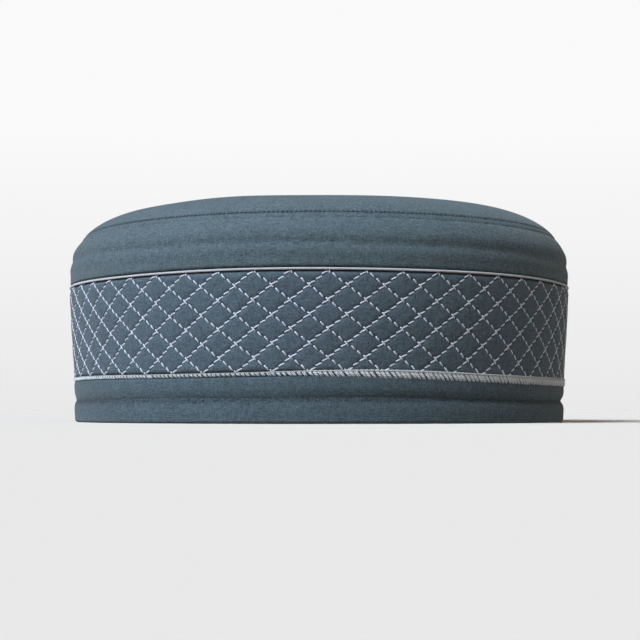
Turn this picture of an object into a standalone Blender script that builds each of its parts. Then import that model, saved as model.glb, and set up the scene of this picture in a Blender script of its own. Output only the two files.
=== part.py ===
"""A kufi: a round brimless cloth cap with a flat top, built from sewn bands.

Units are metres and +Z is up. The origin is the middle of the rim's underside, and the cap's axis
is the Z axis. From the rim up: rim band, lower edging, lattice band, upper piping, crown band and
crown top.
"""

import math

import bmesh
import bpy

# Heights of the seams and of the top, above the surface that the rim rests on
EDGING_HEIGHT = 0.0177
PIPING_HEIGHT = 0.0519
TOP_SEAM_HEIGHT = 0.0694
CAP_HEIGHT = 0.0797

# Outer radius of the cap's side, bottom to top: height, radius
SIDE_OUTLINE = (
    (0.0, 0.0940),
    (EDGING_HEIGHT, 0.0942),
    (0.0350, 0.0955),
    (PIPING_HEIGHT, 0.0964),
    (0.0606, 0.0963),
    (0.0660, 0.0946),
    (TOP_SEAM_HEIGHT, 0.0922),
)

WALL = 0.0024
TOP_WALL = 0.0020
GAP = 0.0003
SEGMENTS = 72

# Rim band: a folded edge with a flat underside, and a crease between two ribs
RIM_FLAT_INSET = 0.0005
RIM_CREASE_HEIGHT = 0.0089
RIM_CREASE_DEPTH = 0.0005
RIM_RIB = 0.0004
RIM_ROWS = 6

# Beads of the two edgings: half height, how far they stand out, and the tongue through the wall
EDGING_BEAD = (0.0013, 0.0008)
EDGING_TONGUE = 0.0014
PIPING_BEAD = (0.0007, 0.0008)
PIPING_TONGUE = 0.0007
BEAD_POINTS = 7
BEAD_SINK = 0.0006

# Where a band's edge rolls in to a seam
SEAM_ROLL_DEPTH = 0.0010
SEAM_ROLL_HEIGHT = 0.0008

# Lattice of quilted diamonds
LATTICE_REPEATS = 48
LATTICE_HALF_ROWS = 7
QUILT_PUFF = 0.0006

# Crown band: soft horizontal ribs
CROWN_RIB = 0.0003
CROWN_RIB_PITCH = 0.0065
CROWN_ROWS = 7

# Crown top: a flat panel with a rounded shoulder
FLAT_RADIUS = 0.0668
SHOULDER_FULLNESS = 1.75
SHOULDER_STEPS = 6
TOP_SEAM_ROLL = 0.0006

# Faces that meet at more than this are shaded with a crease between them
CREASE_ANGLE = math.radians(50)

# Colours, as linear values
SLATE = (0.100, 0.151, 0.190, 1)
SLATE_DEEP = (0.075, 0.110, 0.150, 1)
PALE_THREAD = (0.50, 0.48, 0.47, 1)


def side_radius(height):
    """The outer radius of the side at a height, eased between the stations of its outline."""
    for (low, low_radius), (high, high_radius) in zip(SIDE_OUTLINE, SIDE_OUTLINE[1:]):
        if height <= high:
            share = max(0.0, (height - low) / (high - low))
            return low_radius + (high_radius - low_radius) * share
    return SIDE_OUTLINE[-1][1]


def heights_between(bottom, top, rows):
    """Evenly spaced heights, both ends included."""
    return [bottom + (top - bottom) * row / rows for row in range(rows + 1)]


def cloth_material(name, colour, roughness):
    material = bpy.data.materials.new(name)
    material.use_nodes = True
    shader = material.node_tree.nodes["Principled BSDF"]
    shader.inputs["Base Color"].default_value = colour
    shader.inputs["Roughness"].default_value = roughness
    shader.inputs["Metallic"].default_value = 0.0
    return material


def finish(name, shape, material):
    """Turns a bmesh into a named object, shaded smooth apart from its creases."""
    bmesh.ops.recalc_face_normals(shape, faces=shape.faces)
    for face in shape.faces:
        face.smooth = True
    for edge in shape.edges:
        if edge.calc_face_angle(0) > CREASE_ANGLE:
            edge.smooth = False
    mesh = bpy.data.meshes.new(name)
    shape.to_mesh(mesh)
    shape.free()
    mesh.materials.append(material)
    piece = bpy.data.objects.new(name, mesh)
    bpy.context.scene.collection.objects.link(piece)
    return piece


def turned(profile, segments=SEGMENTS):
    """Spins a closed profile of (radius, height) points round the Z axis."""
    shape = bmesh.new()
    points = [shape.verts.new((radius, 0, height)) for radius, height in profile]
    edges = [shape.edges.new((a, b)) for a, b in zip(points, points[1:])]
    if profile[0][0] > 0:
        edges.append(shape.edges.new((points[-1], points[0])))
    bmesh.ops.spin(
        shape,
        geom=points + edges,
        cent=(0, 0, 0),
        axis=(0, 0, 1),
        angle=math.tau,
        steps=segments,
        use_merge=True,
    )
    bmesh.ops.remove_doubles(shape, verts=shape.verts, dist=0.000001)
    return shape


def edge_clearance(tongue):
    """How far a band's edge stays from the middle of a seam that holds a tongue."""
    return tongue / 2 + GAP


def seam_corner(seam_height, towards, tongue):
    """The two outer points of a band's edge where it rolls in to a seam: at the seam, then clear of it."""
    edge = seam_height + towards * edge_clearance(tongue)
    full = edge + towards * SEAM_ROLL_HEIGHT
    return (side_radius(edge) - SEAM_ROLL_DEPTH, edge), (side_radius(full), full)


def make_rim_band():
    """The lower band: two ribs with a crease between them, resting on its folded edge."""
    edge, full = seam_corner(EDGING_HEIGHT, -1, EDGING_TONGUE)
    fold_top = 3 * RIM_FLAT_INSET
    outer = [(side_radius(0) - RIM_FLAT_INSET, 0.0)]
    for height in heights_between(fold_top, full[1], RIM_ROWS):
        ribs = RIM_RIB * abs(math.sin(math.pi * height / RIM_CREASE_HEIGHT))
        crease = RIM_CREASE_DEPTH * math.exp(-(((height - RIM_CREASE_HEIGHT) / 0.001) ** 2))
        outer.append((side_radius(height) + ribs - crease, height))
    outer.append(edge)
    inner_radius = side_radius(0) - WALL
    inner = [
        (side_radius(edge[1]) - WALL, edge[1]),
        (inner_radius, fold_top),
        (inner_radius + RIM_FLAT_INSET, 0.0),
    ]
    return finish("rim_band", turned(outer + inner), cloth_material("rim_cloth", SLATE, 0.85))


def bead_and_tongue(seam_height, bead, tongue):
    """Profile of an edging: a bead outside the wall on a tongue that runs in through the seam."""
    half_height, proud = bead
    half_depth = (proud + BEAD_SINK) / 2
    middle = side_radius(seam_height) + proud - half_depth
    neck = math.asin(min(1.0, tongue / 2 / half_height))
    sweep = math.pi - neck
    profile = []
    for step in range(BEAD_POINTS):
        angle = -sweep + 2 * sweep * step / (BEAD_POINTS - 1)
        profile.append(
            (
                middle + half_depth * math.cos(angle),
                seam_height + half_height * math.sin(angle),
            )
        )
    inner_radius = side_radius(seam_height) - WALL
    profile.append((inner_radius, seam_height + tongue / 2))
    profile.append((inner_radius, seam_height - tongue / 2))
    return profile


def make_lower_edging():
    """The overcast edging between the rim band and the lattice band."""
    profile = bead_and_tongue(EDGING_HEIGHT, EDGING_BEAD, EDGING_TONGUE)
    return finish(
        "lower_edging", turned(profile), cloth_material("edging_thread", PALE_THREAD, 0.6)
    )


def make_upper_piping():
    """The thin cord let into the seam above the lattice band."""
    profile = bead_and_tongue(PIPING_HEIGHT, PIPING_BEAD, PIPING_TONGUE)
    return finish(
        "upper_piping", turned(profile), cloth_material("piping_thread", PALE_THREAD, 0.6)
    )


def quilt(shape, bottom, top):
    """Puffs the diamonds out between the stitch lines and creases the grid along each stitch line."""
    half_row = (top - bottom) / LATTICE_HALF_ROWS
    half_column = math.pi / LATTICE_REPEATS
    stitched = set()
    outside = set()
    for vertex in shape.verts:
        x, y, height = vertex.co
        radius = math.hypot(x, y)
        if radius < side_radius(height) - WALL / 4 or not bottom - GAP < height < top + GAP:
            continue
        outside.add(vertex)
        row = round((height - bottom) / half_row)
        column = round(math.atan2(y, x) / half_column)
        if (row + column) % 2 == LATTICE_HALF_ROWS % 2:
            stitched.add(vertex)
        elif 0 < row < LATTICE_HALF_ROWS:
            vertex.co.xy *= (radius + QUILT_PUFF) / radius
    for face in list(shape.faces):
        if outside.issuperset(face.verts):
            _, stitch_line = bmesh.utils.face_split(face, *[v for v in face.verts if v in stitched])
            stitch_line.edge.smooth = False


def make_lattice_band():
    """The middle band, quilted in a lattice of diamonds between the two edgings."""
    low_edge, low_full = seam_corner(EDGING_HEIGHT, 1, EDGING_TONGUE)
    high_edge, high_full = seam_corner(PIPING_HEIGHT, -1, PIPING_TONGUE)
    rows = heights_between(low_full[1], high_full[1], LATTICE_HALF_ROWS)
    outer = [low_edge] + [(side_radius(height), height) for height in rows] + [high_edge]
    inner = [
        (side_radius(high_edge[1]) - WALL, high_edge[1]),
        (side_radius(low_edge[1]) - WALL, low_edge[1]),
    ]
    shape = turned(outer + inner, 2 * LATTICE_REPEATS)
    quilt(shape, low_full[1], high_full[1])
    return finish("lattice_band", shape, cloth_material("lattice_cloth", SLATE_DEEP, 0.85))


def make_crown_band():
    """The upper band: soft ribs above the piping, rolling in to the top seam."""
    edge, full = seam_corner(PIPING_HEIGHT, 1, PIPING_TONGUE)
    top = TOP_SEAM_HEIGHT - GAP / 2
    heights = heights_between(full[1], top, CROWN_ROWS)
    outer = [edge]
    for height in heights:
        rib = CROWN_RIB * math.sin(math.tau * (height - full[1]) / CROWN_RIB_PITCH)
        outer.append((side_radius(height) + rib, height))
    outer[-1] = (side_radius(top) - TOP_SEAM_ROLL, top)
    inner = [(side_radius(height) - WALL, height) for height in reversed(heights[2::2])]
    inner.append((side_radius(edge[1]) - WALL, edge[1]))
    return finish(
        "crown_band", turned(outer + inner), cloth_material("crown_cloth", SLATE, 0.85)
    )


def shoulder(radius, height, bottom):
    """Points of the rounded shoulder, from its foot up to the edge of the flat panel."""
    reach = radius - FLAT_RADIUS
    rise = height - bottom
    points = []
    for step in range(SHOULDER_STEPS + 1):
        angle = math.pi / 2 * step / SHOULDER_STEPS
        out = math.cos(angle) ** (2 / SHOULDER_FULLNESS)
        up = math.sin(angle) ** (2 / SHOULDER_FULLNESS)
        points.append((FLAT_RADIUS + reach * out, bottom + rise * up))
    return points


def make_crown_top():
    """The flat top panel, turned down over a rounded shoulder to the top seam."""
    bottom = TOP_SEAM_HEIGHT + GAP / 2
    seam_radius = side_radius(TOP_SEAM_HEIGHT)
    outer = shoulder(seam_radius, CAP_HEIGHT, bottom)
    outer[0] = (seam_radius - TOP_SEAM_ROLL, bottom)
    inner = shoulder(seam_radius - WALL, CAP_HEIGHT - TOP_WALL, bottom)
    profile = [(0.0, CAP_HEIGHT - TOP_WALL)] + inner[::-1] + outer + [(0.0, CAP_HEIGHT)]
    return finish("crown_top", turned(profile), cloth_material("top_cloth", SLATE, 0.85))


def main():
    for thing in list(bpy.data.objects):
        bpy.data.objects.remove(thing)
    make_rim_band()
    make_lower_edging()
    make_lattice_band()
    make_upper_piping()
    make_crown_band()
    make_crown_top()


main()
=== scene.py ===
"""Looks of a kufi cap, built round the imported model: four sewn cloth pieces, of which the middle
band is quilted in a diamond lattice, with running stitches, an overcast edging and a twisted cord.

Metres, +Z up, in the model's frame: the origin is the middle of the rim's underside, and the
front is -Y. An angle runs anticlockwise seen from above, from +X.
"""

import math

import bmesh
import bpy
import numpy as np
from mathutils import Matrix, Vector


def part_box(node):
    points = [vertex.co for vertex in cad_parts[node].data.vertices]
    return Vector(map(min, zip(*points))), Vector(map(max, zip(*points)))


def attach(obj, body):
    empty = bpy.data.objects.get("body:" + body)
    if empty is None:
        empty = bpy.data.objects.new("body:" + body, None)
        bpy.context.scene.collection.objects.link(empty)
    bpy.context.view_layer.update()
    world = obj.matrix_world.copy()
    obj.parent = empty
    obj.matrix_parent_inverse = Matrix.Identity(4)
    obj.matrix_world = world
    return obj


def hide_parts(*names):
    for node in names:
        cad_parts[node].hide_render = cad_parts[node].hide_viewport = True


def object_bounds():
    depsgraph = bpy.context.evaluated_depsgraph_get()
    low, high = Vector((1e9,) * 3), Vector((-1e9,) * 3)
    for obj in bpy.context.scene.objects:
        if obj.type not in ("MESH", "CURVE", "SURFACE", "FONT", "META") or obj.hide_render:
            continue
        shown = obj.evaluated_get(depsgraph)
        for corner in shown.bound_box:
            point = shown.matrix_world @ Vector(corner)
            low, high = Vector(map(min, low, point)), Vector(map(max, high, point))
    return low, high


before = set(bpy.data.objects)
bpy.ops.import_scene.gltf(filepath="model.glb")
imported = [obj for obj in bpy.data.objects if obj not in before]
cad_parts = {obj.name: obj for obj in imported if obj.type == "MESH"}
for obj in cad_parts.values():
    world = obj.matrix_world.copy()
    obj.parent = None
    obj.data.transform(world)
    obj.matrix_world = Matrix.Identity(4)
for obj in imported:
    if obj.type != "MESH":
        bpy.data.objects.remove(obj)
cad_low, cad_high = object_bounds()


def middle_height(node):
    """The height of the middle of a CAD node."""
    low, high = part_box(node)
    return (low.z + high.z) / 2


# Places that the CAD model gives, and the little by which the seams lie lower on the cloth, and
# the top seam further out
EDGING_LOWER = 0.0013
PIPING_LOWER = 0.0008
TOP_SEAM_LOWER = 0.0006
TOP_SEAM_OUT = 0.0005
EDGING_HEIGHT = middle_height("lower_edging") - EDGING_LOWER
PIPING_HEIGHT = middle_height("upper_piping") - PIPING_LOWER
TOP_SEAM_HEIGHT = (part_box("crown_band")[1].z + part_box("crown_top")[0].z) / 2 - TOP_SEAM_LOWER
TOP_SEAM_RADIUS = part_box("crown_top")[1].x + TOP_SEAM_OUT
CAP_HEIGHT = cad_high.z
RIM_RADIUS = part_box("rim_band")[1].x

# Cloth walls, and how their outline is eased between the CAD corners
WALL = 0.0022
TOP_WALL = 0.0018
OUTLINE_STEP = 0.0001
OUTLINE_EASE = 0.0008
CROWN_CURVE = 3.6
CROWN_OUTLINE_ROWS = 24
PUFF_LIMIT = 0.0012
COLUMNS = 720
ROW_PITCH = 0.00045
LATTICE_INNER_ROWS = 5
CROWN_INNER_ROWS = 7
CORNER = math.radians(70)

# Seams: how far a band stops from the middle of a seam, and how it rolls in to it
EDGING_HALF_GAP = 0.0006
PIPING_HALF_GAP = 0.0006
SEAM_ROLL_DEPTH = 0.0011
SEAM_ROLL_REACH = 0.0010
PUCKER_DEPTH = 0.00008
PUCKER_MEAN = 0.7
PUCKER_SWING = 0.6
PUCKER_COUNT = 118
PUCKER_DRIFT = 2.5
PUCKER_REACH = 0.0026
TOP_SEAM_PUCKERS = 2

# Folded rim, with a narrow crease in the soft valley between its two ribs. The valley's depth is a
# mean share and a swing round the cap, so that it is deeper at the right.
RIM_FOLD = 0.0012
RIM_ROW_PITCH = 0.00025
RIM_CREASE_HEIGHT = 0.0084
RIM_CREASE_WANDER = 0.0003
RIM_VALLEY_DEPTH = 0.00042
RIM_VALLEY_MEAN = 0.3
RIM_VALLEY_SWING = 0.5
RIM_VALLEY_WIDTH = 0.0016
RIM_CREASE_DEPTH = 0.00024
RIM_CREASE_WIDTH = 0.00055

# Soft valley round the crown band, with a ridge on each side of it: it lies higher at the left
CROWN_VALLEY_SHARE = 0.48
CROWN_VALLEY_DRIFT = 0.06
CROWN_VALLEY_WANDER = 0.012
CROWN_VALLEY_DEPTH = 0.00038
CROWN_VALLEY_WIDTH = 0.0014
CROWN_RIDGE_ABOVE = 0.0036
CROWN_RIDGE_BELOW = 0.0032
CROWN_RIDGE_RISE = 0.00018
CROWN_RIDGE_WIDTH = 0.0017
CROWN_LAST_ROWS = (0.7, 0.4, 0.15, 0)

# Lattice of quilted diamonds, counted in half diamonds round and up
LATTICE_BOTTOM = EDGING_HEIGHT + EDGING_HALF_GAP
LATTICE_TOP = PIPING_HEIGHT - PIPING_HALF_GAP
LATTICE_REPEATS = 48
LATTICE_HALF_ROWS = 7
HALF_COLUMN = math.pi / LATTICE_REPEATS
HALF_ROW = (LATTICE_TOP - LATTICE_BOTTOM) / LATTICE_HALF_ROWS
STEPS_PER_HALF_DIAMOND = 9
QUILT_PUFF = 0.00044
QUILT_SHARPNESS = 6
QUILT_FADE = 0.002

# Threads: sides and rings, and how thick they are at their ends as a share of their middle
THREAD_SIDES = 6
STITCH_RINGS = 7
TOPSTITCH_RINGS = 5
STITCH_END = 0.62
OVERCAST_END = 0.7
TOPSTITCH_END = 0.6

# Running stitches of the lattice, of one length all round
STITCHES_PER_SIDE = 3
STITCH_LENGTH = 0.00222
STITCH_RADIUS = 0.00028
STITCH_LIFT = 0.00014
STITCH_SINK = 0.00016
STITCH_SLANT = 0.00020
STITCH_SLANT_RISE = 0.7
STITCH_JITTER = 0.00006
STITCH_LINE_END = 0.02

# Twisted cord in the upper seam
RINGS_PER_TWIST = 10
CORD_STRAND_RADIUS = 0.00024
CORD_TWIST_RADIUS = 0.00020
CORD_TWISTS = 390
CORD_OUT = 0.00005

# Overcast edging: a twisted line above, and threads that slant down from it over a soft tape. At
# the left it narrows to a share of its full width, by the cosine of the angle round the cap.
NARROW_EDGING = 0.42
EDGING_NARROWS_FROM = 0.35
EDGING_NARROWS_OVER = 0.65
EDGE_LINE_ABOVE = 0.00105
EDGE_LINE_OUT = 0.00028
EDGE_LINE_STRAND_RADIUS = 0.00026
EDGE_LINE_TWIST_RADIUS = 0.00020
EDGE_LINE_TWISTS = 172
OVERCAST_COUNT = 2 * EDGE_LINE_TWISTS
OVERCAST_PAIR_GAP = 0.00058
OVERCAST_DROP = 0.0025
OVERCAST_DROP_SPREAD = 0.06
OVERCAST_LEAN = 0.0021
OVERCAST_JITTER = 0.0012
OVERCAST_OUT = 0.0001
OVERCAST_SINK = 0.0004
OVERCAST_RADIUS = 0.00029
OVERCAST_THINNEST = 0.3
TAPE_ROWS = 9
TAPE_HALF_HEIGHT = 0.00135
TAPE_OUT = 0.00022
PIPING_TAPE_HALF_HEIGHT = 0.0010
PIPING_TAPE_OUT = -0.0006

# Top panel and the row of stitches above its seam
SHOULDER_LEAN = 0.45
SHOULDER_HANDLES = (0.505, 0.48)
SHOULDER_ROWS = 30
SHOULDER_FINE_ROWS = 200
SHOULDER_CROWDING = 1.3
SEAM_SPAN = 5
SEAM_ROWS = 16
PANEL_ROWS = 16
UNDERSIDE_ROWS = 8
SEAM_GROOVE_DEPTH = 0.00013
SEAM_GROOVE_REACH = 0.00035
TOPSTITCH_COUNT = 360
TOPSTITCH_ABOVE = 0.0020
TOPSTITCH_DEPTH = 0.00016
TOPSTITCH_LENGTH = 0.0011
TOPSTITCH_RADIUS = 0.00019
TOPSTITCH_ARCH = 0.00014
TOPSTITCH_SINK = 0.0001
TOPSTITCH_JITTER = 0.00005

# Unevenness of the soft cap
OUT_OF_ROUND = 0.00045
EDGING_WAVE = 0.00045
EDGING_DIP = 0.0020
EDGING_DIP_ANGLE = math.radians(-15)
EDGING_DIP_POWER = 4
EDGING_WAVE_REACH = 0.008
PIPING_WAVE = 0.00015
PANEL_SAG = 0.0005
PANEL_WAVE = 0.00022


def smooth_step(share):
    """Eases a share from 0 to 1, flat at both ends."""
    share = np.clip(share, 0, 1)
    return share * share * (3 - 2 * share)


def waves(angle, harmonics, seed):
    """A smooth wave round the cap, about 1 high: harmonics with seeded phases."""
    phases = np.random.default_rng(seed).uniform(0, math.tau, len(harmonics))
    total = sum(np.cos(count * angle + phase) for count, phase in zip(harmonics, phases))
    return total / math.sqrt(len(harmonics))


def panel_lumps(x, y):
    """A low uneven wave over the top panel, about 1 high."""
    return np.sin(x * 61 + 1.0) * np.sin(y * 47 + 0.6) + 0.6 * np.sin(x * 97 - y * 71)


def soften(points):
    """Moves points of the ideal cap to where its soft cloth lies."""
    x, y, z = np.moveaxis(np.asarray(points, float), -1, 0)
    angle = np.arctan2(y, x)
    radius = np.hypot(x, y)
    share = np.clip(radius / RIM_RADIUS, 0, 1)
    out = OUT_OF_ROUND * share * waves(angle, (2, 3, 5), 11)
    near_edging = np.exp(-(((z - EDGING_HEIGHT) / EDGING_WAVE_REACH) ** 2))
    near_piping = np.exp(-(((z - PIPING_HEIGHT) / EDGING_WAVE_REACH) ** 2))
    dip = EDGING_DIP * np.maximum(0, np.cos(angle - EDGING_DIP_ANGLE)) ** EDGING_DIP_POWER
    up = near_edging * (EDGING_WAVE * waves(angle, (2, 3, 5), 12) - dip)
    up = up + PIPING_WAVE * near_piping * waves(angle, (3, 4, 6), 13)
    on_top = smooth_step((z - TOP_SEAM_HEIGHT) / (CAP_HEIGHT - TOP_SEAM_HEIGHT))
    up = up + on_top * (PANEL_WAVE * panel_lumps(x, y) - PANEL_SAG * (1 - share**2))
    return np.stack([x + out * np.cos(angle), y + out * np.sin(angle), z + up], axis=-1)


def at(radius, angle, height):
    """Points from cylinder coordinates, which broadcast against each other."""
    radius, angle, height = np.broadcast_arrays(radius, angle, height)
    return np.stack([radius * np.cos(angle), radius * np.sin(angle), height], axis=-1)


def outline_rows(node):
    """(height, radius) of a CAD band's outer corners from its foot up, where it isn't puffed."""
    corners = np.array([vertex.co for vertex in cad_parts[node].data.vertices])
    heights = np.round(corners[:, 2], 5)
    radii = np.hypot(corners[:, 0], corners[:, 1])
    rows = []
    for height in np.unique(heights):
        level = radii[heights == height]
        rows.append((height, level[level > level.max() - PUFF_LIMIT].min()))
    return rows


def eased_outline():
    """Heights and radii of the cap's side, rounded between the CAD bands' corners."""
    rows = outline_rows("rim_band")[1:-1]
    rows += outline_rows("lattice_band")[1:-1]
    foot, widest = outline_rows("crown_band")[1]
    for share in np.linspace(0, 1, CROWN_OUTLINE_ROWS):
        radius = widest - (widest - TOP_SEAM_RADIUS) * share**CROWN_CURVE
        rows.append((foot + share * (TOP_SEAM_HEIGHT - foot), radius))
    heights, radii = np.array(rows).T
    fine = np.arange(0, TOP_SEAM_HEIGHT + OUTLINE_STEP / 2, OUTLINE_STEP)
    reach = np.arange(-4 * OUTLINE_EASE, 4 * OUTLINE_EASE, OUTLINE_STEP)
    weights = np.exp(-((reach / OUTLINE_EASE) ** 2))
    sharp = np.interp(fine, heights, radii)
    padded = np.pad(sharp, len(reach) // 2, mode="reflect", reflect_type="odd")
    eased = np.convolve(padded, weights / weights.sum(), mode="same")
    return fine, eased[len(reach) // 2 : len(reach) // 2 + len(fine)]


OUTLINE = eased_outline()


def side_radius(height):
    """The outer radius of the cap's side at a height, before quilting and creases."""
    return np.interp(height, *OUTLINE)


def rolled(distance, depth=SEAM_ROLL_DEPTH, reach=SEAM_ROLL_REACH):
    """How far an edge is rolled in at a distance from it: a quarter ellipse."""
    share = 1 - np.clip(distance / reach, 0, 1)
    return depth * (1 - np.sqrt(1 - share**2))


def puckers(angle, height, seam):
    """Faint ripples that a row of stitches pulls into the cloth beside its seam."""
    near = np.exp(-np.abs(height - seam) / PUCKER_REACH)
    drift = PUCKER_DRIFT * waves(angle, (2, 3, 7), 21)
    swell = PUCKER_MEAN + PUCKER_SWING * waves(angle, (9, 14, 23, 31), 22)
    return PUCKER_DEPTH * near * swell * np.cos(PUCKER_COUNT * angle + drift)


def link(name, mesh, material):
    """Makes a piece of the object from a mesh, smooth but for its corners."""
    mesh.shade_smooth()
    mesh.set_sharp_from_angle(angle=CORNER)
    mesh.materials.append(material)
    piece = bpy.data.objects.new(name, mesh)
    bpy.context.scene.collection.objects.link(piece)
    return piece


def add_map(mesh, name, maps):
    """Gives a mesh a map, with a place for each corner of its faces."""
    layer = mesh.uv_layers.new(name=name, do_init=False)
    layer.data.foreach_set("uv", maps.astype(np.float32).ravel())


def grid_faces(rows, columns, close_rows):
    """Corner numbers of a grid whose columns go all the way round, and the grid place of each."""
    last = rows if close_rows else rows - 1
    row, column = np.meshgrid(np.arange(last), np.arange(columns), indexing="ij")
    row_of = np.stack([row, row, row + 1, row + 1], axis=-1).reshape(-1, 4)
    column_of = np.stack([column, column + 1, column + 1, column], axis=-1).reshape(-1, 4)
    return (row_of % rows) * columns + column_of % columns, row_of, column_of


def turned_mesh(name, points, distances, close_rows=True, pole=None):
    """A mesh from a grid of points, rows by columns, that goes round the cap.

    Its "weave" map counts turns of the cap, across and along the profile, so that a weave drawn
    in it closes on itself. A pole is a point that closes the last row.
    """
    rows, columns = points.shape[:2]
    faces, row_of, column_of = grid_faces(rows, columns, close_rows)
    corners = points.reshape(-1, 3)
    face_list = faces.tolist()
    along = distances / (math.tau * RIM_RADIUS)
    along = np.append(along, along[-1] + along[1] - along[0])
    maps = np.stack([column_of / columns, along[row_of]], axis=-1).reshape(-1, 2)
    if pole is not None:
        tip = len(corners)
        corners = np.vstack([corners, pole])
        first = (rows - 1) * columns
        fan = [[first + i, first + (i + 1) % columns, tip] for i in range(columns)]
        face_list += fan
        maps = np.vstack([maps, np.zeros((3 * columns, 2))])
    mesh = bpy.data.meshes.new(name)
    mesh.from_pydata(corners.tolist(), [], face_list)
    add_map(mesh, "weave", maps)
    return mesh


def band_mesh(name, outer_heights, outer_radii, inner_heights):
    """A band's closed wall: up the outside, over its top edge, and down the inside."""
    angle = np.arange(outer_radii.shape[1]) / outer_radii.shape[1] * math.tau
    outside = at(outer_radii, angle[None, :], outer_heights)
    inner_radii = side_radius(inner_heights) - WALL
    inside = at(inner_radii[:, None], angle[None, :], inner_heights[:, None])
    points = soften(np.concatenate([outside, inside]))
    profile = points[:, 0]
    steps = np.linalg.norm(np.diff(profile, axis=0), axis=1)
    return turned_mesh(name, points, np.concatenate([[0], np.cumsum(steps)]))


def rows_between(bottom, top, pitch=ROW_PITCH):
    """Heights from bottom to top, about a pitch apart."""
    return np.linspace(bottom, top, 2 + int((top - bottom) / pitch))


def make_rim_band(material):
    """The folded lower band: a round fold below, two ribs, and a crease between them."""
    top = EDGING_HEIGHT - EDGING_HALF_GAP
    height = rows_between(0, top, RIM_ROW_PITCH)[:, None]
    angle = np.arange(COLUMNS)[None, :] / COLUMNS * math.tau
    off = height - RIM_CREASE_HEIGHT - RIM_CREASE_WANDER * waves(angle, (3, 5, 8), 31)
    valley = RIM_VALLEY_DEPTH * (RIM_VALLEY_MEAN + RIM_VALLEY_SWING * np.cos(angle))
    crease = valley * np.exp(-((off / RIM_VALLEY_WIDTH) ** 2))
    crease = crease + RIM_CREASE_DEPTH * np.exp(-((off / RIM_CREASE_WIDTH) ** 2))
    radius = side_radius(height) - crease
    radius = radius - rolled(top - height) - rolled(height, RIM_FOLD, RIM_FOLD)
    radius = radius + puckers(angle, height, EDGING_HEIGHT)
    inner = np.array([top, RIM_CREASE_HEIGHT, RIM_FOLD, 0])
    mesh = band_mesh("rim_band_cloth", height, radius, inner)
    return link("rim_band_cloth", mesh, material)


def quilting(column, row):
    """How far the cloth puffs out at a place in the lattice, from 0 on a stitch line to 1."""
    rising = np.abs(((row + column - 1) / 2) % 1 * 2 - 1)
    falling = np.abs(((row - column - 1) / 2) % 1 * 2 - 1)
    return (1 - rising**QUILT_SHARPNESS) * (1 - falling**QUILT_SHARPNESS)


def add_lattice_map(mesh, rows, columns):
    """Adds the "lattice" map, whose whole numbers are the stitch lines: rising, then falling.

    The inside has no stitch lines, so all of it lies halfway between two.
    """
    _, row_of, column_of = grid_faces(rows, columns, True)
    row = row_of.ravel() / STEPS_PER_HALF_DIAMOND
    column = column_of.ravel() / STEPS_PER_HALF_DIAMOND
    maps = np.stack([(row + column - 1) / 2, (row - column - 1) / 2], axis=-1)
    maps[row > LATTICE_HALF_ROWS] = 0.5
    add_map(mesh, "lattice", maps)


def make_lattice_band(material):
    """The middle band, puffed out between its lattice of stitch lines."""
    columns = 2 * LATTICE_REPEATS * STEPS_PER_HALF_DIAMOND
    rows = LATTICE_HALF_ROWS * STEPS_PER_HALF_DIAMOND + 1
    row = np.arange(rows)[:, None] / STEPS_PER_HALF_DIAMOND
    column = np.arange(columns)[None, :] / STEPS_PER_HALF_DIAMOND
    height = LATTICE_BOTTOM + row * HALF_ROW
    angle = column * HALF_COLUMN
    edge = np.minimum(height - LATTICE_BOTTOM, LATTICE_TOP - height)
    puff = QUILT_PUFF * quilting(column, row) * smooth_step(edge / QUILT_FADE)
    radius = side_radius(height) + puff - rolled(edge)
    radius = radius + puckers(angle, height, PIPING_HEIGHT)
    inner = np.linspace(LATTICE_TOP, LATTICE_BOTTOM, LATTICE_INNER_ROWS)
    mesh = band_mesh("lattice_band_cloth", height, radius, inner)
    add_lattice_map(mesh, rows + len(inner), columns)
    return link("lattice_band_cloth", mesh, material)


def make_crown_band(material):
    """The upper band: a valley between two ridges, then curving in to the top seam.

    Its rows lie closer together at the top, where the seam's groove is.
    """
    bottom = PIPING_HEIGHT + PIPING_HALF_GAP
    near_seam = TOP_SEAM_HEIGHT - ROW_PITCH * np.array(CROWN_LAST_ROWS)
    height = np.append(rows_between(bottom, TOP_SEAM_HEIGHT - ROW_PITCH), near_seam)[:, None]
    angle = np.arange(COLUMNS)[None, :] / COLUMNS * math.tau
    radius = side_radius(height) - rolled(height - bottom) - seam_groove(TOP_SEAM_HEIGHT - height)
    share = CROWN_VALLEY_SHARE - CROWN_VALLEY_DRIFT * np.cos(angle)
    share = share + CROWN_VALLEY_WANDER * waves(angle, (2, 3, 5, 8), 32)
    off = height - bottom - share * (TOP_SEAM_HEIGHT - bottom)
    radius = radius - CROWN_VALLEY_DEPTH * np.exp(-((off / CROWN_VALLEY_WIDTH) ** 2))
    for ridge in (CROWN_RIDGE_ABOVE, -CROWN_RIDGE_BELOW):
        off_ridge = (off - ridge) / CROWN_RIDGE_WIDTH
        radius = radius + CROWN_RIDGE_RISE * np.exp(-(off_ridge**2))
    radius = radius + puckers(angle, height, PIPING_HEIGHT)
    radius = radius + TOP_SEAM_PUCKERS * puckers(angle, height, TOP_SEAM_HEIGHT)
    inner = np.linspace(TOP_SEAM_HEIGHT, bottom, CROWN_INNER_ROWS)
    mesh = band_mesh("crown_band_cloth", height, radius, inner)
    return link("crown_band_cloth", mesh, material)


def panel_radius():
    """The radius of the CAD model's flat top."""
    corners = np.array([vertex.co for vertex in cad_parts["crown_top"].data.vertices])
    flat = corners[corners[:, 2] > CAP_HEIGHT - OUTLINE_STEP]
    return np.hypot(flat[:, 0], flat[:, 1]).max()


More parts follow.
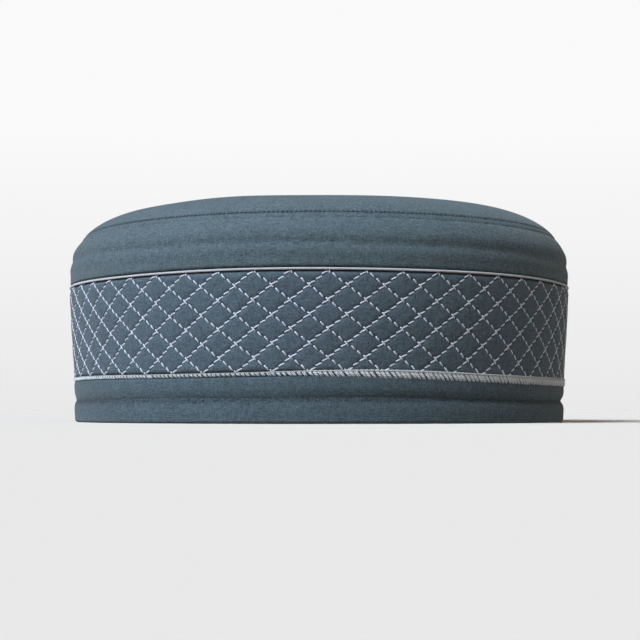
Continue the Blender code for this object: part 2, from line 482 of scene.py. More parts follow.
def shoulder(foot_radius, top, rows, seam_rows=0):
    """Radii and heights of the rounded shoulder: a Bezier curve from the seam to the flat panel.

    Its first rows lie closer together where seam_rows are asked for.
    """
    foot = TOP_SEAM_HEIGHT
    flat = panel_radius()
    rise = SHOULDER_HANDLES[0] * (top - foot)
    run = SHOULDER_HANDLES[1] * (foot_radius - flat)
    handles = (
        (foot_radius, foot),
        (foot_radius - SHOULDER_LEAN * rise, foot + rise),
        (flat + run, top),
        (flat, top),
    )
    share = np.linspace(0, 1, rows) ** SHOULDER_CROWDING
    if seam_rows:
        share = np.append(np.linspace(0, share[SEAM_SPAN], seam_rows), share[SEAM_SPAN + 1 :])
    weights = ((1 - share) ** 3, 3 * share * (1 - share) ** 2, 3 * share**2 * (1 - share), share**3)
    radius = sum(weight * place[0] for weight, place in zip(weights, handles))
    height = sum(weight * place[1] for weight, place in zip(weights, handles))
    return radius, height


def seam_groove(distance):
    """The depth of the top seam's groove at a distance from it."""
    return SEAM_GROOVE_DEPTH * np.exp(-distance / SEAM_GROOVE_REACH)


def make_crown_top(material):
    """The top panel: the flat middle, the rounded shoulder, and its foot in the top seam."""
    outer = side_radius(TOP_SEAM_HEIGHT)
    radius, height = shoulder(outer, CAP_HEIGHT, SHOULDER_ROWS, SEAM_ROWS)
    off_row = (height - TOP_SEAM_HEIGHT - TOPSTITCH_ABOVE) / SEAM_GROOVE_REACH
    radius = radius - seam_groove(height - TOP_SEAM_HEIGHT)
    radius = radius - TOPSTITCH_DEPTH * np.exp(-(off_row**2))
    panel = np.linspace(radius[-1], 0, PANEL_ROWS + 1)[1:-1]
    radius = np.concatenate([radius, panel])
    height = np.concatenate([height, np.full(len(panel), CAP_HEIGHT)])
    under_radius, under_height = shoulder(outer - WALL, CAP_HEIGHT - TOP_WALL, UNDERSIDE_ROWS)
    angle = np.arange(COLUMNS)[None, :] / COLUMNS * math.tau
    ripple = TOP_SEAM_PUCKERS * puckers(angle, height[:, None], TOP_SEAM_HEIGHT)
    above = at(radius[:, None] + ripple, angle, height[:, None])
    below = at(under_radius[:, None], angle, under_height[:, None])
    points = soften(np.concatenate([below[::-1], above]))
    steps = np.linalg.norm(np.diff(points[:, 0], axis=0), axis=1)
    distances = np.concatenate([[0], np.cumsum(steps)])
    pole = soften(np.array([[0, 0, CAP_HEIGHT]]))
    mesh = turned_mesh("crown_top_cloth", points, distances, close_rows=False, pole=pole)
    close_underside(mesh)
    lay_flat_map(mesh)
    return link("crown_top_cloth", mesh, material)


def close_underside(mesh):
    """Fills the hole that the underside's innermost row leaves with a fan to its middle."""
    shape = bmesh.new()
    shape.from_mesh(mesh)
    rim = [edge for edge in shape.edges if edge.is_boundary]
    filled = bmesh.ops.contextual_create(shape, geom=rim)["faces"]
    bmesh.ops.poke(shape, faces=filled)
    bmesh.ops.recalc_face_normals(shape, faces=shape.faces)
    shape.to_mesh(mesh)
    shape.free()


def lay_flat_map(mesh):
    """Lays a "flat" map over the panel as straight cloth, in turns of the cap."""
    places = np.zeros(len(mesh.vertices) * 3, np.float32)
    mesh.vertices.foreach_get("co", places)
    places = places.reshape(-1, 3)
    corners = np.zeros(len(mesh.loops), np.int32)
    mesh.loops.foreach_get("vertex_index", corners)
    add_map(mesh, "flat", places[corners, :2] / (math.tau * RIM_RADIUS))


def tube_points(paths, radii, closed):
    """The corners of round threads along paths of points: threads by rings by sides by 3."""
    if closed:
        ahead = np.roll(paths, -1, axis=1) - np.roll(paths, 1, axis=1)
    else:
        ahead = np.gradient(paths, axis=1)
    ahead /= np.linalg.norm(ahead, axis=2, keepdims=True)
    outward = paths * [1, 1, 0]
    outward /= np.linalg.norm(outward, axis=2, keepdims=True)
    across = np.cross(ahead, outward)
    across /= np.linalg.norm(across, axis=2, keepdims=True)
    lift = np.cross(across, ahead)
    turn = (np.arange(THREAD_SIDES) / THREAD_SIDES * math.tau)[:, None]
    ring = np.cos(turn) * lift[:, :, None] + np.sin(turn) * across[:, :, None]
    return paths[:, :, None] + radii[:, :, None, None] * ring


def tube_faces(count, rings, closed):
    """Corner numbers of the threads' faces, and each face's place along and round its thread."""
    spans = rings if closed else rings - 1
    thread, span, side = np.meshgrid(
        np.arange(count), np.arange(spans), np.arange(THREAD_SIDES), indexing="ij"
    )
    base = thread * rings * THREAD_SIDES
    here = base + span * THREAD_SIDES
    there = base + (span + 1) % rings * THREAD_SIDES
    after = (side + 1) % THREAD_SIDES
    faces = np.stack([here + side, here + after, there + after, there + side], axis=-1)
    return faces.reshape(-1, 4), span, side


def tube_map(paths, width, span, side):
    """Places on the threads: the distance along in thread widths, and the share of the way round."""
    steps = np.linalg.norm(np.diff(paths, axis=1), axis=2).mean(axis=1) / width
    near = span * steps[:, None, None]
    far = (span + 1) * steps[:, None, None]
    along = np.stack([near, near, far, far], axis=-1)
    around = np.stack([side, side + 1, side + 1, side], axis=-1) / THREAD_SIDES
    return np.stack([along, around], axis=-1).reshape(-1, 2)


def tubes_mesh(name, paths, radii, closed=False):
    """Many round threads in one mesh with a "thread" map, along paths: threads by rings by 3."""
    count, rings = paths.shape[:2]
    radii = np.broadcast_to(radii, (count, rings))
    points = tube_points(paths, radii, closed)
    faces, span, side = tube_faces(count, rings, closed)
    maps = tube_map(paths, 2 * float(np.max(radii)), span, side)
    face_list = faces.tolist()
    if not closed:
        first = (np.arange(count) * rings * THREAD_SIDES)[:, None]
        turn = np.arange(THREAD_SIDES)
        ends = np.concatenate([first + turn[::-1], first + (rings - 1) * THREAD_SIDES + turn])
        face_list += ends.tolist()
        maps = np.vstack([maps, np.zeros((ends.size, 2))])
    mesh = bpy.data.meshes.new(name)
    mesh.from_pydata(points.reshape(-1, 3).tolist(), [], face_list)
    add_map(mesh, "thread", maps)
    return mesh


def stitch_rings(count=STITCH_RINGS):
    """Places along a stitch, from -1 to 1, and how high it arches there, from 0 to 1."""
    along = np.linspace(-1, 1, count)
    return along, 1 - along**4


def tapered(arch, end):
    """A thread's thickness where it arches that high, from its ends' share of the middle's."""
    return end + (1 - end) * arch


def make_lattice_stitches(name, direction, at_crossings, seed, material):
    """One set of stitch lines, rising to the right or to the left, as short arched threads."""
    random = np.random.default_rng(seed)
    column_width = HALF_COLUMN * side_radius((LATTICE_BOTTOM + LATTICE_TOP) / 2)
    side_length = math.hypot(column_width, HALF_ROW)
    shift = 0 if at_crossings else 0.5
    centres = (np.arange(LATTICE_HALF_ROWS * STITCHES_PER_SIDE + 1) + shift) / STITCHES_PER_SIDE
    centres = centres[centres <= LATTICE_HALF_ROWS]
    starts = np.arange(1, 2 * LATTICE_REPEATS, 2)
    start, centre = (grid.ravel() for grid in np.meshgrid(starts, centres, indexing="ij"))
    half = STITCH_LENGTH / 2 / side_length
    low = np.maximum(centre - half, STITCH_LINE_END)
    high = np.minimum(centre + half, LATTICE_HALF_ROWS - STITCH_LINE_END)
    along, arch = stitch_rings()
    row = (low + high)[:, None] / 2 + (high - low)[:, None] / 2 * along
    across = STITCH_SLANT * along + random.normal(0, STITCH_JITTER, (len(start), 1))
    column = start[:, None] + direction * row + across / column_width
    height = LATTICE_BOTTOM + row * HALF_ROW - direction * across * STITCH_SLANT_RISE
    lift = arch * (STITCH_LIFT + STITCH_SINK) - STITCH_SINK
    edge = np.minimum(height - LATTICE_BOTTOM, LATTICE_TOP - height)
    radius = side_radius(height) + lift - rolled(edge)
    paths = soften(at(radius, column * HALF_COLUMN, height))
    thickness = STITCH_RADIUS * tapered(arch, STITCH_END)
    return link(name, tubes_mesh(name, paths, thickness), material)


def edging_width(angle):
    """The width of the edging as a share of its full one: it is narrower at the left."""
    share = smooth_step((np.cos(angle) + EDGING_NARROWS_FROM) / EDGING_NARROWS_OVER)
    return NARROW_EDGING + (1 - NARROW_EDGING) * share


def even_width(angle):
    """The width, as a share of its full one, of what is as wide all round."""
    return np.ones_like(angle)


def make_twisted_line(name, material, seam, above, out, strand, twist, twists, width_at):
    """Two strands twisted round each other all the way round the cap, above a seam.

    strand and twist are the radii of a strand and of its turns.
    """
    rings = twists * RINGS_PER_TWIST
    angle = np.arange(rings) / rings * math.tau
    width = width_at(angle)
    middle = seam + above * width
    paths = []
    for phase in (0, math.pi):
        turn = phase - angle * twists
        radius = side_radius(middle) + out + twist * width * np.cos(turn)
        paths.append(at(radius, angle, middle + twist * width * np.sin(turn)))
    mesh = tubes_mesh(name, soften(np.array(paths)), strand * width, closed=True)
    return link(name, mesh, material)


def make_tape(name, height, half_height, out, material):
    """A narrow strip that fills a seam behind its threads: rounded outside, flat inside."""
    sweep = np.linspace(-math.pi / 2, math.pi / 2, TAPE_ROWS)
    width = edging_width(np.arange(COLUMNS) / COLUMNS * math.tau)
    outer_height = height + half_height * np.sin(sweep)[:, None] * width
    outer_radius = side_radius(height) - SEAM_ROLL_DEPTH + (SEAM_ROLL_DEPTH + out) * np.cos(sweep)
    radii = np.repeat(outer_radius[:, None], COLUMNS, axis=1)
    inner = height + half_height * np.array([1, -1])
    return link(name, band_mesh(name, outer_height, radii, inner), material)


def make_overcast_threads(material):
    """The threads of the edging, in pairs that slant down to the right from its upper line."""
    name = "lower_edging_threads"
    random = np.random.default_rng(41)
    along, arch = stitch_rings()
    share = (along + 1) / 2
    start = np.arange(OVERCAST_COUNT)[:, None] / OVERCAST_COUNT * math.tau
    start = start + random.normal(0, OVERCAST_JITTER, start.shape)
    start = np.vstack([start, start + OVERCAST_PAIR_GAP / RIM_RADIUS])
    drop = OVERCAST_DROP * (1 + random.normal(0, OVERCAST_DROP_SPREAD, start.shape))
    width = edging_width(start)
    height = EDGING_HEIGHT + (EDGE_LINE_ABOVE - drop * share) * width
    angle = start + OVERCAST_LEAN / RIM_RADIUS * share * width
    bulge = TAPE_OUT * np.cos((height - EDGING_HEIGHT) / TAPE_HALF_HEIGHT)
    radius = side_radius(EDGING_HEIGHT) + bulge + OVERCAST_OUT - OVERCAST_SINK * (1 - arch)
    paths = soften(at(radius, angle, height))
    thinner = OVERCAST_THINNEST + (1 - OVERCAST_THINNEST) * width
    thickness = OVERCAST_RADIUS * tapered(arch, OVERCAST_END) * thinner
    return link(name, tubes_mesh(name, paths, thickness), material)


def topstitch_place():
    """The radius and height of the row of stitches above the top seam."""
    radius, height = shoulder(side_radius(TOP_SEAM_HEIGHT), CAP_HEIGHT, SHOULDER_FINE_ROWS)
    row = TOP_SEAM_HEIGHT + TOPSTITCH_ABOVE
    return np.interp(row, height, radius), row


def make_topstitching(material):
    """The row of small stitches above the top seam."""
    name = "top_seam_stitches"
    random = np.random.default_rng(51)
    along, arch = stitch_rings(TOPSTITCH_RINGS)
    start = np.arange(TOPSTITCH_COUNT)[:, None] / TOPSTITCH_COUNT * math.tau
    row_radius, row = topstitch_place()
    height = row + random.normal(0, TOPSTITCH_JITTER, start.shape)
    angle = start + TOPSTITCH_LENGTH / 2 / RIM_RADIUS * along
    lift = TOPSTITCH_ARCH * arch - TOPSTITCH_SINK - TOPSTITCH_DEPTH
    paths = soften(at(row_radius + lift, angle, height))
    thickness = TOPSTITCH_RADIUS * tapered(arch, TOPSTITCH_END)
    return link(name, tubes_mesh(name, paths, thickness), material)


class Graph:
    """Adds and joins a material's nodes, so that its making reads as a formula."""

    def __init__(self, name):
        self.material = bpy.data.materials.new(name)
        self.material.use_nodes = True
        self.tree = self.material.node_tree
        self.shader = self.tree.nodes["Principled BSDF"]

    def join(self, value, socket):
        """Links a node's output to a socket, or sets the socket to a plain value."""
        if isinstance(value, bpy.types.NodeSocket):
            self.tree.links.new(value, socket)
        else:
            socket.default_value = value

    def add(self, kind, named=(), **settings):
        """Adds a node with what goes into its named sockets."""
        made = self.tree.nodes.new(kind)
        for key, value in settings.items():
            setattr(made, key, value)
        for key, value in dict(named).items():
            self.join(value, made.inputs[key])
        return made

    def math(self, operation, *values):
        made = self.tree.nodes.new("ShaderNodeMath")
        made.operation = operation
        for value, socket in zip(values, made.inputs):
            self.join(value, socket)
        return made.outputs[0]

    def vector(self, operation, vector, other):
        made = self.tree.nodes.new("ShaderNodeVectorMath")
        made.operation = operation
        self.join(vector, made.inputs[0])
        self.join(other, made.inputs["Scale" if operation == "SCALE" else 1])
        return made.outputs[0]

    def place(self):
        return self.add("ShaderNodeTexCoord").outputs["Object"]

    def map(self, name):
        """The two numbers that a mesh's map gives."""
        across = self.add("ShaderNodeUVMap", uv_map=name).outputs[0]
        parts = self.add("ShaderNodeSeparateXYZ", {"Vector": across}).outputs
        return parts[0], parts[1]

    def noise(self, vector, scale, detail=2.0):
        """Noise from about -1 to 1."""
        made = self.add("ShaderNodeTexNoise", {"Vector": vector, "Scale": scale, "Detail": detail})
        return self.math("MULTIPLY_ADD", made.outputs[0], 2.0, -1.0)

    def ripple(self, value):
        """A sine wave with one period for each whole number."""
        return self.math("SINE", self.math("MULTIPLY", value, math.tau))

    def bell(self, distance, width):
        """1 where a distance is 0, falling to nothing a width or two away."""
        share = self.math("DIVIDE", distance, width)
        square = self.math("MULTIPLY", share, share)
        return self.math("EXPONENT", self.math("MULTIPLY", square, -1.0))

    def total(self, *terms):
        """The sum of (weight, value) terms."""
        result = 0.0
        for weight, value in terms:
            result = self.math("MULTIPLY_ADD", value, weight, result)
        return result

    def paint(self, colour, shade):
        """A colour made lighter or darker by a shade about 0."""
        tint = self.add("ShaderNodeRGB")
        tint.outputs[0].default_value = (*colour, 1)
        scaled = self.vector("SCALE", tint.outputs[0], self.math("ADD", shade, 1.0))
        self.join(scaled, self.shader.inputs["Base Color"])

    def emboss(self, height, distance, strength):
        """Raises and sinks the surface by a height."""
        sockets = {"Height": height, "Distance": distance, "Strength": strength}
        bump = self.add("ShaderNodeBump", sockets)
        self.join(bump.outputs[0], self.shader.inputs["Normal"])

    def finish(self, **sockets):
        """Sets the shader's plain values, named with underscores for spaces."""
        for key, value in sockets.items():
            self.shader.inputs[key.replace("_", " ")].default_value = value
        return self.material


# Cloth: its yarns, how its fibres are drawn out, and the scales of its noises
YARNS_PER_TURN = 760
SIDE_FIBRES = ((1, 1, 0.14), (0.14, 0.14, 1))
PANEL_FIBRES = ((1, 0.14, 1), (0.14, 1, 1))
FIBRE_SCALE = 2600.0
COARSE_SCALE = 800.0
FINE_SCALE = 1900.0
MOTTLE_SCALE = 95.0
MOTTLE_DETAIL = 4.0

# What the yarns are made up of, and what the lighter and darker fibres are
TWILL_SHARE = 0.35
OVER_SHARE = 0.25
DRAWN_SHARE = 0.4
DRAWN_FIBRE = 0.85
COARSE_FIBRE = 0.5
FINE_FIBRE = 1.7

# How much the weave tells in the tone, and the painted shade in seam rows, creases, stitch lines and
# holes
YARN_TONE = 0.16
FIBRE_TONE = 0.48
MOTTLE_TONE = 0.14
SEAM_ROW_SHADE = -0.28
SEAM_HOLE_SHADE = -0.72
CREASE_SHADE = -0.56
LINE_SHADE = -0.14
HOLE_SHADE = -0.28

# How much they tell in the height, and how high the whole is
YARN_HEIGHT = 0.7
FIBRE_HEIGHT = 0.7
SEAM_HOLE_HEIGHT = -3.0
HOLE_HEIGHT = -2.5
WEAVE_HEIGHT = 0.00010
WEAVE_STRENGTH = 0.8
SHEEN = {"Sheen_Weight": 0.14, "Sheen_Roughness": 0.45}
PLAIN_ROUGHNESS = 0.88
QUILTED_ROUGHNESS = 0.85

# A seam row's width in metres, and that of its holes as a share of their pitch
SEAM_ROW_WIDTH = 0.00042
SEAM_HOLE_WIDTH = 0.27

# The painted crease shade's width and how far it wanders, in turns of the cap
CREASE_SHADE_WIDTH = 0.0013 / (math.tau * RIM_RADIUS)
CREASE_WANDER = 0.0007
CREASE_WANDER_SCALE = 30.0

# The widths of stitch lines and holes as a share of the lines' pitch, and the holes' length as a
# share of the stitches' pitch
LINE_WIDTH = 0.075
HOLE_WIDTH = 0.055
HOLE_LENGTH = 0.16

# Twisted thread
PLY_SLANT = 0.8
PLY_TONE = 0.10
PLY_HEIGHT = 0.00006
PLY_STRENGTH = 0.7
LINT_SCALE = 1500.0
LINT_TONE = 0.14
THREAD_SHINE = {"Sheen_Weight": 0.15, "Sheen_Roughness": 0.4, "Specular_IOR_Level": 0.6}
SMOOTH_THREAD = 0.38
COTTON_THREAD = 0.5
MATT_THREAD = 0.6


def woven(graph, fibres, laid):
    """The cloth's fine weave: (height of the yarns, lighter and darker fibres, large mottling)."""
    across, along = graph.map(laid)
    yarn = graph.math("MULTIPLY", across, float(YARNS_PER_TURN))
    pick = graph.math("MULTIPLY", along, float(YARNS_PER_TURN))
    twill = graph.ripple(graph.math("ADD", yarn, pick))
    over = graph.math("MULTIPLY", graph.ripple(yarn), graph.ripple(pick))
    place = graph.place()
    first = graph.noise(graph.vector("MULTIPLY", place, fibres[0]), FIBRE_SCALE)
    second = graph.noise(graph.vector("MULTIPLY", place, fibres[1]), FIBRE_SCALE)
    coarse = graph.noise(place, COARSE_SCALE)
    fine = graph.noise(place, FINE_SCALE)
    mottle = graph.noise(place, MOTTLE_SCALE, MOTTLE_DETAIL)
    yarns = graph.total(
        (TWILL_SHARE, twill),
        (OVER_SHARE, over),
        (DRAWN_SHARE, first),
        (DRAWN_SHARE, second),
    )
    fibre = graph.total(
        (DRAWN_FIBRE, first),
        (DRAWN_FIBRE, second),
        (COARSE_FIBRE, coarse),
        (FINE_FIBRE, fine),
    )
    return yarns, fibre, mottle


def seam_row_shades(graph, seam_row):
    """A row of pinholes round the cap at a height, as masks for painted shade: (the row's groove, its
    holes).
    """
    across, _ = graph.map("weave")
    up = graph.add("ShaderNodeSeparateXYZ", {"Vector": graph.place()}).outputs[2]
    row = graph.bell(graph.math("SUBTRACT", up, seam_row), SEAM_ROW_WIDTH)
    turn = graph.math("FRACT", graph.math("MULTIPLY", across, float(TOPSTITCH_COUNT)))
    near = graph.bell(graph.math("SUBTRACT", turn, 0.5), SEAM_HOLE_WIDTH)
    return row, graph.math("MULTIPLY", row, near)


def painted_crease_shade(graph, crease_row):
    """Painted shade along a crease round the cap, which wanders about a place up the weave map."""
    _, along = graph.map("weave")
    level = graph.vector("MULTIPLY", graph.place(), (1, 1, 0))
    wander = graph.noise(level, CREASE_WANDER_SCALE)
    place = graph.math("MULTIPLY_ADD", wander, CREASE_WANDER, crease_row)
    return graph.bell(graph.math("SUBTRACT", along, place), CREASE_SHADE_WIDTH)


def plain_cloth(name, colour, fibres=SIDE_FIBRES, laid="weave", seam_row=None, crease_row=None):
    """Matt woven cotton, with painted shade in a row of pinholes at a height, or along a crease up
    the weave map.
    """
    graph = Graph(name)
    yarns, fibre, mottle = woven(graph, fibres, laid)
    shade = graph.total((YARN_TONE, yarns), (FIBRE_TONE, fibre), (MOTTLE_TONE, mottle))
    height = graph.total((YARN_HEIGHT, yarns), (FIBRE_HEIGHT, fibre))
    # Painted shade: the cloth is darkened along the seam row's groove and in its pinholes, which also
    # dent it
    if seam_row is not None:
        row, hole = seam_row_shades(graph, seam_row)
        shade = graph.total((1.0, shade), (SEAM_ROW_SHADE, row), (SEAM_HOLE_SHADE, hole))
        height = graph.total((1.0, height), (SEAM_HOLE_HEIGHT, hole))
    # Painted shade: the cloth is darkened along the rim's crease
    if crease_row is not None:
        crease_shade = painted_crease_shade(graph, crease_row)
        shade = graph.total((1.0, shade), (CREASE_SHADE, crease_shade))
    graph.paint(colour, shade)
    graph.emboss(height, WEAVE_HEIGHT, WEAVE_STRENGTH)
    return graph.finish(Roughness=PLAIN_ROUGHNESS, **SHEEN)


def lattice_shades(graph):
    """Masks for painted shade: along the stitch lines, where they pull the cloth in, and in the
    pinholes between their stitches.
    """
    first, second = graph.map("lattice")
    line_shade = 0.0
    holes = 0.0
    for line, along, shift in ((first, second, 0.0), (second, first, 0.5)):
        off = graph.math("SUBTRACT", graph.math("FRACT", graph.math("ADD", line, 0.5)), 0.5)
        line_shade = graph.math("ADD", graph.bell(off, LINE_WIDTH), line_shade)
        steps = graph.math("MULTIPLY_ADD", along, float(STITCHES_PER_SIDE), shift)
        gap = graph.math("SUBTRACT", graph.math("FRACT", steps), 0.5)
        hole = graph.math("MULTIPLY", graph.bell(off, HOLE_WIDTH), graph.bell(gap, HOLE_LENGTH))
        holes = graph.math("ADD", hole, holes)
    return line_shade, holes


def lattice_cloth(name, colour):
    """The quilted band's cloth, with painted shade along its stitch lines and in the pinholes between
    the stitches.
    """
    graph = Graph(name)
    yarns, fibre, mottle = woven(graph, SIDE_FIBRES, "weave")
    line_shade, holes = lattice_shades(graph)
    # Painted shade darkens the cloth along the stitch lines and in the pinholes
    shade = graph.total(
        (YARN_TONE, yarns),
        (FIBRE_TONE, fibre),
        (MOTTLE_TONE, mottle),
        (LINE_SHADE, line_shade),
        (HOLE_SHADE, holes),
    )
    height = graph.total((YARN_HEIGHT, yarns), (FIBRE_HEIGHT, fibre), (HOLE_HEIGHT, holes))
    graph.paint(colour, shade)
    graph.emboss(height, WEAVE_HEIGHT, WEAVE_STRENGTH)
    return graph.finish(Roughness=QUILTED_ROUGHNESS, **SHEEN)


def thread(name, colour, roughness):
    """Twisted thread: slanting plies, slightly glossy."""
    graph = Graph(name)
    along, around = graph.map("thread")
    ply = graph.ripple(graph.math("ADD", graph.math("MULTIPLY", along, PLY_SLANT), around))
    lint = graph.noise(graph.place(), LINT_SCALE)
    graph.paint(colour, graph.total((PLY_TONE, ply), (LINT_TONE, lint)))
    graph.emboss(ply, PLY_HEIGHT, PLY_STRENGTH)
    return graph.finish(Roughness=roughness, **THREAD_SHINE)


# Colours, as linear values
SLATE = (0.096, 0.134, 0.156)
# The rim's slate is the crown's painted darker, as the shade low on the cap
SLATE_RIM_SHADED = (0.080, 0.116, 0.141)
SLATE_GROUND = (0.086, 0.120, 0.150)
# Near-black painted on the upper seam's tape, as the shadow in the seam
SEAM_SHADOW_COLOUR = (0.018, 0.021, 0.028)
SLATE_THREAD = (0.052, 0.072, 0.090)
LAVENDER = (0.80, 0.81, 0.93)
PALE_GREY = (0.79, 0.81, 0.87)
OFF_WHITE = (0.68, 0.67, 0.69)
EDGE_WHITE = (0.60, 0.59, 0.57)


def make_cloths():
    """The four cloth pieces: the rim, lattice and crown bands, and the top panel."""
    crease = RIM_CREASE_HEIGHT / (math.tau * RIM_RADIUS)
    rim = make_rim_band(plain_cloth("rim_cloth", SLATE_RIM_SHADED, crease_row=crease))
    lattice = make_lattice_band(lattice_cloth("lattice_cloth", SLATE_GROUND))
    band = make_crown_band(plain_cloth("crown_cloth", SLATE))
    _, row = topstitch_place()
    top = make_crown_top(plain_cloth("top_cloth", SLATE, PANEL_FIBRES, "flat", seam_row=row))
    return rim, lattice, band, top


def make_running_stitches():
    """The lattice's two sets of stitches: those that rise to the right, and those that fall."""
    lavender = thread("lattice_thread", LAVENDER, SMOOTH_THREAD)
    rising = make_lattice_stitches("lattice_stitches_rising", 1, False, 61, lavender)
    falling = make_lattice_stitches("lattice_stitches_falling", -1, True, 62, lavender)
    return rising, falling


def make_piping_cord():
    """The pale cord that is let into the upper seam."""
    return make_twisted_line(
        "upper_piping_cord",
        thread("piping_thread", OFF_WHITE, COTTON_THREAD),
        seam=PIPING_HEIGHT,
        above=0.0,
        out=CORD_OUT,
        strand=CORD_STRAND_RADIUS,
        twist=CORD_TWIST_RADIUS,
        twists=CORD_TWISTS,
        width_at=even_width,
    )


def make_piping_tape():
    """A strip in the upper seam, behind its cord, painted near-black as the shadow in the seam."""
    return make_tape(
        "upper_piping_tape",
        PIPING_HEIGHT,
        PIPING_TAPE_HALF_HEIGHT,
        PIPING_TAPE_OUT,
        plain_cloth("seam_shadow_tape", SEAM_SHADOW_COLOUR),
    )


def make_edging_tape():
    """The soft strip under the threads of the edging."""
    return make_tape(
        "lower_edging_tape",
        EDGING_HEIGHT,
        TAPE_HALF_HEIGHT,
        TAPE_OUT,
        plain_cloth("edging_tape", SLATE_GROUND),
    )


def make_edging_line():
    """The twisted line along the top of the edging."""
    return make_twisted_line(
        "lower_edging_line",
        thread("edging_line_thread", EDGE_WHITE, COTTON_THREAD),
        seam=EDGING_HEIGHT,
        above=EDGE_LINE_ABOVE,
        out=EDGE_LINE_OUT,
        strand=EDGE_LINE_STRAND_RADIUS,
        twist=EDGE_LINE_TWIST_RADIUS,
        twists=EDGE_LINE_TWISTS,
        width_at=edging_width,
    )


def dress():
    """Makes every piece, hangs it on the root body and hides the CAD node that it stands for; the
    table's slot, what each piece is made of, is not used.
    """
    rim, lattice, band, top = make_cloths()
    rising, falling = make_running_stitches()
    cord = make_piping_cord()
    piping_tape = make_piping_tape()
    edging_tape = make_edging_tape()
    line = make_edging_line()
    overcast = make_overcast_threads(thread("edging_thread", PALE_GREY, COTTON_THREAD))
    topstitches = make_topstitching(thread("seam_thread", SLATE_THREAD, MATT_THREAD))
    for piece, node, slot in (
        (rim, "rim_band", "rim_cloth"),
        (edging_tape, "lower_edging", "edging_thread"),
        (line, None, "edging_thread"),
        (overcast, None, "edging_thread"),
        (lattice, "lattice_band", "lattice_cloth"),
        (rising, None, "edging_thread"),
        (falling, None, "edging_thread"),
        (piping_tape, "upper_piping", "piping_thread"),
        (cord, None, "piping_thread"),
        (band, "crown_band", "crown_cloth"),
        (topstitches, None, "top_cloth"),
        (top, "crown_top", "top_cloth"),
    ):
        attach(piece, "root")
        if node:
            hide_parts(node)


# Camera and stage
EYE_DISTANCE = 0.586
EYE_HEIGHT = 0.005
EYE_TURN = math.radians(-1.6)
LENS = 84.0
CLIP_START = 0.01
FLOOR_REACH = 6.0
FLOOR_GREY = 0.813
BACKDROP_SIDES = 96
BACKDROP_LIGHT = 0.95
BACKDROP_FADE = 1.2
SKY_LIGHT = 0.20
SKY_COLOUR = (1.06, 1.0, 0.89)

# Sockets of a colour mix: its two colours, and what comes out
MIX_FIRST = 6
MIX_SECOND = 7
MIX_RESULT = 2

# Lamps: name, direction that the light comes from, spread in degrees, power and colour
LAMPS = (
    ("key", (-0.788, -0.616, 0.98), 36, 4.0, (0.75, 0.885, 1.01)),
    ("fill", (0.9, -1.2, 0.8), 40, 0.10, (1.0, 1.0, 0.92)),
)


def make_camera():
    """The photograph's distance and level view of the cap, from just above the floor."""
    camera = bpy.data.objects.new("camera", bpy.data.cameras.new("camera"))
    camera.location = (
        EYE_DISTANCE * math.sin(EYE_TURN),
        -EYE_DISTANCE * math.cos(EYE_TURN),
        EYE_HEIGHT,
    )
    aim = Vector((0, 0, CAP_HEIGHT / 2)) - camera.location
    camera.rotation_euler = aim.to_track_quat("-Z", "Y").to_euler()
    camera.data.lens = LENS
    camera.data.clip_start = CLIP_START
    bpy.context.scene.collection.objects.link(camera)
    bpy.context.scene.camera = camera


def make_floor():
    """A wide floor that looks pale grey under the lamps, and throws no light back at the cap."""
    mesh = bpy.data.meshes.new("floor")
    corners = [(x * FLOOR_REACH, y * FLOOR_REACH, 0) for x, y in ((-1, -1), (1, -1), (1, 1), (-1, 1))]
    mesh.from_pydata(corners, [], [(0, 1, 2, 3)])
    material = bpy.data.materials.new("floor_paint")
    material.use_nodes = True
    shader = material.node_tree.nodes["Principled BSDF"]
    shader.inputs["Base Color"].default_value = (*(FLOOR_GREY / light_on_floor()), 1)
    shader.inputs["Roughness"].default_value = 0.9
    shader.inputs["Specular IOR Level"].default_value = 0
    mesh.materials.append(material)
    floor = bpy.data.objects.new("floor", mesh)
    floor.visible_diffuse = False
    bpy.context.scene.collection.objects.link(floor)


def add_light(name, direction, spread, power, colour):
    """A far, wide lamp that shines from a direction, as softly as its spread in degrees."""
    data = bpy.data.lights.new(name, "SUN")
    data.angle = math.radians(spread)
    data.energy = power
    data.color = colour
    lamp = bpy.data.objects.new(name, data)
    lamp.rotation_euler = Vector(direction).to_track_quat("Z", "Y").to_euler()
    bpy.context.scene.collection.objects.link(lamp)


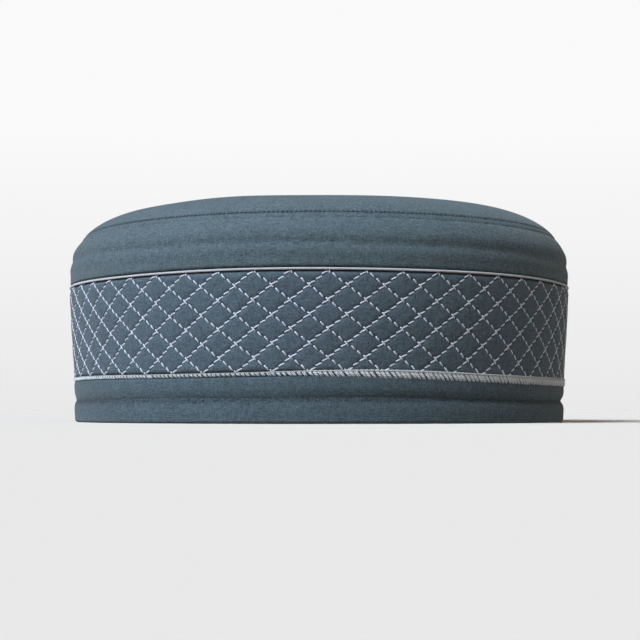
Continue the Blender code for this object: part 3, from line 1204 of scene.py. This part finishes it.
def light_stage():
    """A cool key lamp at the upper left, a weak fill at the right, and a dim sky all round."""
    for name, direction, spread, power, colour in LAMPS:
        add_light(name, direction, spread, power, colour)
    world = bpy.data.worlds.new("sky")
    world.use_nodes = True
    background = world.node_tree.nodes["Background"]
    background.inputs["Color"].default_value = (*SKY_COLOUR, 1)
    background.inputs["Strength"].default_value = SKY_LIGHT
    bpy.context.scene.world = world
    bpy.context.scene.view_settings.view_transform = "Standard"


def light_on_floor():
    """The colour of the light that the lamps and the sky throw on the open floor."""
    light = SKY_LIGHT * np.array(SKY_COLOUR)
    for _, direction, _, power, colour in LAMPS:
        light = light + power / math.pi * Vector(direction).normalized().z * np.array(colour)
    return light


def backdrop_glow():
    """A glow of its own: as bright as the floor below, and whiter above."""
    graph = Graph("backdrop_glow")
    rise = graph.add("ShaderNodeSeparateXYZ", {"Vector": graph.place()}).outputs[2]
    rise = graph.math("MULTIPLY", rise, 1 / BACKDROP_FADE)
    fade = graph.add("ShaderNodeMix", {"Factor": rise}, data_type="RGBA", clamp_factor=True)
    graph.join((FLOOR_GREY,) * 3 + (1,), fade.inputs[MIX_FIRST])
    graph.join((BACKDROP_LIGHT,) * 3 + (1,), fade.inputs[MIX_SECOND])
    graph.join(fade.outputs[MIX_RESULT], graph.shader.inputs["Emission Color"])
    return graph.finish(Base_Color=(0, 0, 0, 1), Emission_Strength=1, Specular_IOR_Level=0)


def make_backdrop():
    """A wide pale shell that only the camera sees."""
    angle = np.arange(BACKDROP_SIDES) / BACKDROP_SIDES * math.tau
    low, high = (at(FLOOR_REACH, angle, height) for height in (-FLOOR_REACH, 2 * FLOOR_REACH))
    faces, _, _ = grid_faces(2, BACKDROP_SIDES, False)
    mesh = bpy.data.meshes.new("backdrop")
    mesh.from_pydata(np.concatenate([low, high]).tolist(), [], faces.tolist())
    mesh.materials.append(backdrop_glow())
    backdrop = bpy.data.objects.new("backdrop", mesh)
    backdrop.visible_diffuse = False
    backdrop.visible_glossy = False
    backdrop.visible_shadow = False
    bpy.context.scene.collection.objects.link(backdrop)


dress()
make_camera()
make_floor()
make_backdrop()
light_stage()
